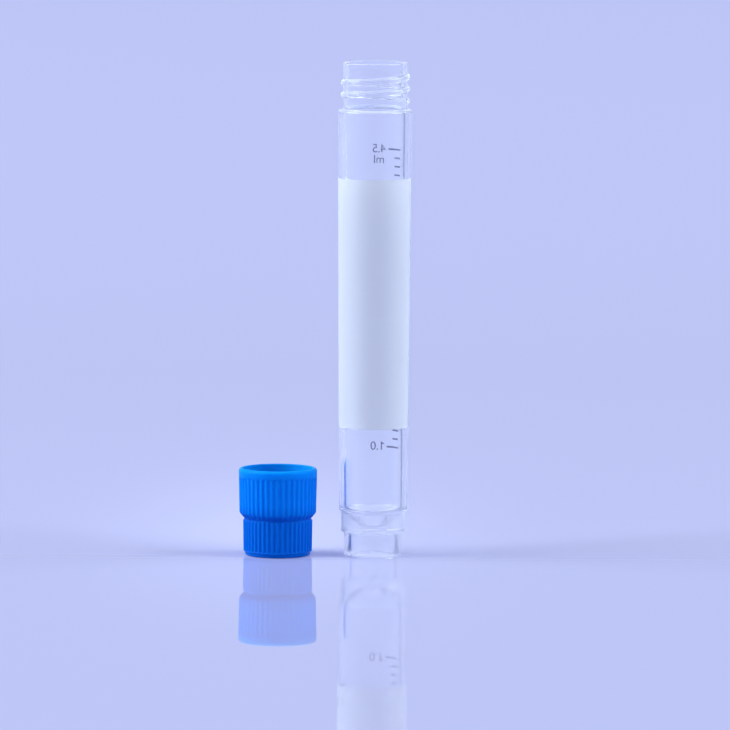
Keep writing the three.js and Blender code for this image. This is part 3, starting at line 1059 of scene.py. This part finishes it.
def bench_finish():
    """Pale and glossy. A faint glow makes up what the lamps don't reach at the back. Close to the vial
    and the cap, painted light, a lighter colour and a glow, lightens the bench and their shadow. Seen in
    the plastic the bench has the room's brightness, but for a painted bright round under the foot, where
    the bench lies in shade, and a painted dark strip towards the back left, which draws the foot's dark
    line."""
    finish = Finish("bench")
    across, depth, _ = finish.parts(finish.place)
    # Painted light: a lighter colour and a glow on the bench round the vial and the cap.
    painted_light_spot = soft_spot(across, depth, (-8, 20), (25, 90))
    # Painted light: between the cap and the tube a glow lightens their shadow.
    between = soft_spot(across, depth, (-5, 0), (14, 7))
    brighter = painted_light_spot * 0.06 + 1
    colour = finish.node("ShaderNodeVectorMath", {"operation": "SCALE"}, {0: BENCH, "Scale": brighter})
    straight = finish.node("ShaderNodeLightPath", {}, {}, "Is Camera Ray")
    glow = depth.ramp(0.3, 1.6) * 0.28 + painted_light_spot * 0.135 + between * 0.075
    matt = finish.plastic(
        Base_Color=colour,
        Roughness=0.8,
        Specular_IOR_Level=0.0,
        Emission_Color=(*SWEEP, 1),
        Emission_Strength=straight * glow,
    )

    away = across - TUBE_AXIS * MM
    distance = (away * away + depth * depth) ** 0.5
    turn, room = round_the_room(finish, away, depth)
    # Painted light under the foot and a painted dark strip beside it, seen only in the plastic.
    under = distance.ramp(0.0055, 0.0035)
    close = distance.ramp(0.055, 0.04)
    beside = close * distance.ramp(0.007, 0.012) * turn.ramp(0.135, 0.145) * turn.ramp(0.215, 0.2)
    strength = (room * (distance.ramp(0.35, 0.15) * 0.03 + 1)).most(close * 0.66)
    strength = strength * (1 - beside * 0.8) * (1 - under) + under * 1.2
    shade = finish.blend(strength.ramp(0.4, 1.0), DIM_SWEEP, SWEEP)
    seen = finish.node("ShaderNodeEmission", {}, {"Color": shade, "Strength": strength})
    in_plastic = straight.sibling("Is Glossy Ray").most(straight.sibling("Is Transmission Ray"))
    bench = finish.mixed(in_plastic, matt, seen)

    gloss_colour = (1, 1, 1, 1)
    sockets = {"Color": gloss_colour, "Roughness": GLOSS_ROUGHNESS}
    gloss = finish.node("ShaderNodeBsdfGlossy", {}, sockets)
    in_front = depth.ramp(-0.001, -0.006)
    mirror = finish.node("ShaderNodeFresnel", {}, {"IOR": BENCH_GLOSS}) * in_front
    return finish.shown(finish.mixed(mirror, bench, gloss))


bench_mesh = bpy.data.meshes.new("bench")
corners = [(-BENCH_REACH, -BENCH_REACH), (BENCH_REACH, -BENCH_REACH)]
corners += [(BENCH_REACH, BENCH_REACH), (-BENCH_REACH, BENCH_REACH)]
bench_mesh.from_pydata([(x, y, 0) for x, y in corners], [], [(0, 1, 2, 3)])
bench_mesh.materials.append(bench_finish())
bench = bpy.data.objects.new("bench", bench_mesh)
bpy.context.scene.collection.objects.link(bench)

AIM = Vector((6.74, 0, 32.3)) * MM
LAMP_COLOUR = (0.84, 0.93, 1.0)
LAMP_DISTANCE = 3.0


def soft_lamp(name, azimuth, elevation, size, power):
    """A soft lamp that faces the vial. Azimuth is in degrees from the front, to the right."""
    lamp = bpy.data.lights.new(name, "AREA")
    lamp.shape = "RECTANGLE"
    lamp.size, lamp.size_y = size
    lamp.energy = power
    lamp.color = LAMP_COLOUR
    holder = bpy.data.objects.new(name, lamp)
    bpy.context.scene.collection.objects.link(holder)
    a, e = math.radians(azimuth), math.radians(elevation)
    way = Vector((math.sin(a) * math.cos(e), -math.cos(a) * math.cos(e), math.sin(e)))
    holder.location = AIM + way * LAMP_DISTANCE
    holder.rotation_mode = "QUATERNION"
    holder.rotation_quaternion = way.to_track_quat("Z", "Y")
    holder.visible_camera = False


soft_lamp("side_left", azimuth=-84, elevation=34, size=(2.3, 1.5), power=97.0)
soft_lamp("side_right", azimuth=84, elevation=34, size=(2.3, 1.5), power=77.0)
soft_lamp("above", azimuth=0, elevation=89, size=(3.0, 3.0), power=24.0)

ROOM_LIGHT = (0.25, 0.255, 0.31)
room = bpy.data.worlds.new("room")
room.use_nodes = True
room.node_tree.nodes.clear()
bpy.context.scene.world = room
air = Tree(room.node_tree)
straight = air.node("ShaderNodeLightPath", {}, {}, "Is Camera Ray")
through_plastic = straight.sibling("Is Transmission Ray")
shown = straight.most(straight.sibling("Is Glossy Ray")).most(through_plastic)
toward_x, toward_y, _ = air.parts(air.node("ShaderNodeTexCoord", {}, {}, "Generated"))
_, brightness = round_the_room(air, toward_x, toward_y)
sockets = {
    "Color": air.blend(shown, ROOM_LIGHT, SWEEP),
    "Strength": through_plastic * (brightness - 1) + 1,
}
backdrop = air.node("ShaderNodeBackground", {}, sockets)
output = room.node_tree.nodes.new("ShaderNodeOutputWorld")
room.node_tree.links.new(backdrop.socket, output.inputs["Surface"])

CAMERA_DISTANCE = 1.43
CAMERA_ELEVATION = 5.8
CAMERA_ROLL = 0.29
CAMERA_LENS = 418.0

camera_data = bpy.data.cameras.new("camera")
camera_data.lens = CAMERA_LENS
camera = bpy.data.objects.new("camera", camera_data)
bpy.context.scene.collection.objects.link(camera)
tilt = math.radians(CAMERA_ELEVATION)
back = Vector((0, -math.cos(tilt), math.sin(tilt)))
camera.location = AIM + back * CAMERA_DISTANCE
camera.rotation_mode = "QUATERNION"
camera.rotation_quaternion = Quaternion(back, math.radians(CAMERA_ROLL)) @ back.to_track_quat("Z", "Y")
bpy.context.scene.camera = camera
bpy.context.scene.view_settings.view_transform = "Standard"
